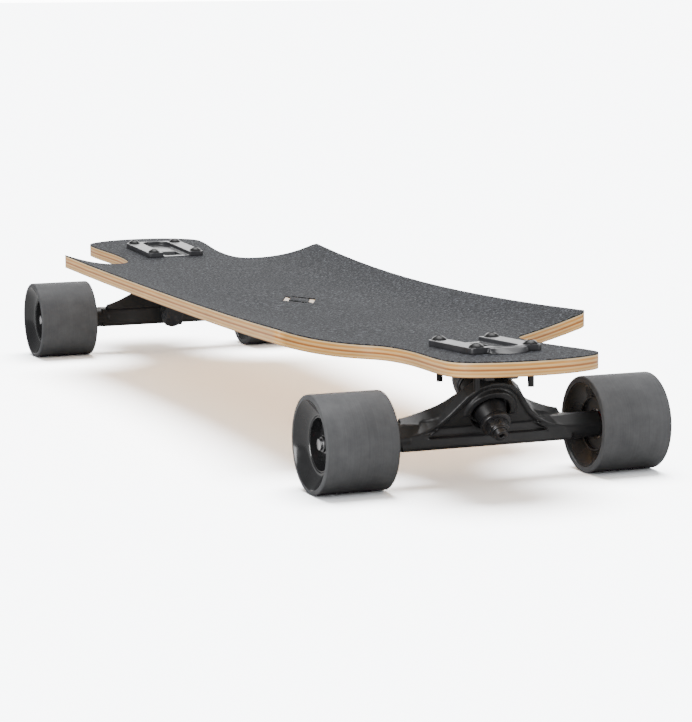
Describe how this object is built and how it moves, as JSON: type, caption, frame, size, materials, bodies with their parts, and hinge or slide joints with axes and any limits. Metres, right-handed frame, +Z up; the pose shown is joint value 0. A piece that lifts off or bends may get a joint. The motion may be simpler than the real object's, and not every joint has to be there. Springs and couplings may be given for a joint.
{
  "type": "longboard skateboard",
  "caption": "Drop-through longboard with a concave deck, grip surface, sprung steering trucks and wide wheels on ball bearings.",
  "frame": {"origin": "on the ground under the middle of the board", "axes": "+X along the board to the front, +Y to the rider's left, +Z up"},
  "size_m": [0.915, 0.2642, 0.1054],
  "materials": {
    "deck_wood": "clear lacquered maple ply, satin",
    "grip": "coarse black abrasive sheet",
    "cast_black": "satin black powder coat on cast aluminium",
    "black_steel": "black oxide steel",
    "bright_steel": "bright steel",
    "bushing_urethane": "black urethane",
    "wheel_urethane": "ground charcoal urethane tread, gloss black faces",
    "core_plastic": "moulded black hub",
    "seal_rubber": "dark red bearing seal",
    "cage_plastic": "natural nylon"
  },
  "bodies": {
    "board": {"deck": "deck_wood", "grip_tape": "grip", "front_baseplate": "cast_black", "front_kingpin": "black_steel", "front_kingpin_nut": "black_steel", "front_boardside_bushing": "bushing_urethane", "front_roadside_bushing": "bushing_urethane", "front_boardside_washer": "black_steel", "front_roadside_washer": "black_steel", "front_pivot_cup": "bushing_urethane", "front_mounting_bolts": "black_steel", "front_mounting_nuts": "black_steel", "rear_baseplate": "cast_black", "rear_kingpin": "black_steel", "rear_kingpin_nut": "black_steel", "rear_boardside_bushing": "bushing_urethane", "rear_roadside_bushing": "bushing_urethane", "rear_boardside_washer": "black_steel", "rear_roadside_washer": "black_steel", "rear_pivot_cup": "bushing_urethane", "rear_mounting_bolts": "black_steel", "rear_mounting_nuts": "black_steel"},
    "front_hanger_body": {"front_hanger": "cast_black", "front_axle": "bright_steel", "front_axle_nuts": "bright_steel", "front_speed_washers": "bright_steel", "front_bearing_spacers": "bright_steel", "front_inner_races": "bright_steel"},
    "front_left_wheel": {"front_left_tyre": "wheel_urethane", "front_left_wheel_core": "core_plastic", "front_left_outer_races": "bright_steel", "front_left_bearing_shields": "seal_rubber"},
    "front_left_ball_set": {"front_left_bearing_balls": "bright_steel", "front_left_bearing_cages": "cage_plastic"},
    "front_right_wheel": {"front_right_tyre": "wheel_urethane", "front_right_wheel_core": "core_plastic", "front_right_outer_races": "bright_steel", "front_right_bearing_shields": "seal_rubber"},
    "front_right_ball_set": {"front_right_bearing_balls": "bright_steel", "front_right_bearing_cages": "cage_plastic"},
    "rear_hanger_body": {"rear_hanger": "cast_black", "rear_axle": "bright_steel", "rear_axle_nuts": "bright_steel", "rear_speed_washers": "bright_steel", "rear_bearing_spacers": "bright_steel", "rear_inner_races": "bright_steel"},
    "rear_left_wheel": {"rear_left_tyre": "wheel_urethane", "rear_left_wheel_core": "core_plastic", "rear_left_outer_races": "bright_steel", "rear_left_bearing_shields": "seal_rubber"},
    "rear_left_ball_set": {"rear_left_bearing_balls": "bright_steel", "rear_left_bearing_cages": "cage_plastic"},
    "rear_right_wheel": {"rear_right_tyre": "wheel_urethane", "rear_right_wheel_core": "core_plastic", "rear_right_outer_races": "bright_steel", "rear_right_bearing_shields": "seal_rubber"},
    "rear_right_ball_set": {"rear_right_bearing_balls": "bright_steel", "rear_right_bearing_cages": "cage_plastic"}
  },
  "joints": [
    {"name": "front_steer", "type": "hinge", "parent": "board", "child": "front_hanger_body", "pos_m": [0.3694, 0, 0.0563], "axis": [0.7193, 0, 0.6947], "range_deg": [-15, 15], "stiffness_Nm_per_rad": 120, "deforming": ["front_boardside_bushing", "front_roadside_bushing"]},
    {"name": "front_left_wheel_spin", "type": "hinge", "parent": "front_hanger_body", "child": "front_left_wheel", "pos_m": [0.36575, 0.1052, 0.035], "axis": [0, 1, 0], "continuous": true},
    {"name": "front_left_ball_set_spin", "type": "hinge", "parent": "front_hanger_body", "child": "front_left_ball_set", "pos_m": [0.36575, 0.1052, 0.035], "axis": [0, 1, 0], "continuous": true},
    {"name": "front_right_wheel_spin", "type": "hinge", "parent": "front_hanger_body", "child": "front_right_wheel", "pos_m": [0.36575, -0.1052, 0.035], "axis": [0, 1, 0], "continuous": true},
    {"name": "front_right_ball_set_spin", "type": "hinge", "parent": "front_hanger_body", "child": "front_right_ball_set", "pos_m": [0.36575, -0.1052, 0.035], "axis": [0, 1, 0], "continuous": true},
    {"name": "rear_steer", "type": "hinge", "parent": "board", "child": "rear_hanger_body", "pos_m": [-0.3694, 0, 0.0563], "axis": [0.7193, 0, -0.6947], "range_deg": [-15, 15], "stiffness_Nm_per_rad": 120, "deforming": ["rear_boardside_bushing", "rear_roadside_bushing"]},
    {"name": "rear_left_wheel_spin", "type": "hinge", "parent": "rear_hanger_body", "child": "rear_left_wheel", "pos_m": [-0.36575, 0.1052, 0.035], "axis": [0, 1, 0], "continuous": true},
    {"name": "rear_left_ball_set_spin", "type": "hinge", "parent": "rear_hanger_body", "child": "rear_left_ball_set", "pos_m": [-0.36575, 0.1052, 0.035], "axis": [0, 1, 0], "continuous": true},
    {"name": "rear_right_wheel_spin", "type": "hinge", "parent": "rear_hanger_body", "child": "rear_right_wheel", "pos_m": [-0.36575, -0.1052, 0.035], "axis": [0, 1, 0], "continuous": true},
    {"name": "rear_right_ball_set_spin", "type": "hinge", "parent": "rear_hanger_body", "child": "rear_right_ball_set", "pos_m": [-0.36575, -0.1052, 0.035], "axis": [0, 1, 0], "continuous": true}
  ],
  "couplings": [
    {"joint": "front_left_ball_set_spin", "follows": "front_left_wheel_spin", "ratio": 0.6323},
    {"joint": "front_right_ball_set_spin", "follows": "front_right_wheel_spin", "ratio": 0.6323},
    {"joint": "rear_left_ball_set_spin", "follows": "rear_left_wheel_spin", "ratio": 0.6323},
    {"joint": "rear_right_ball_set_spin", "follows": "rear_right_wheel_spin", "ratio": 0.6323}
  ]
}
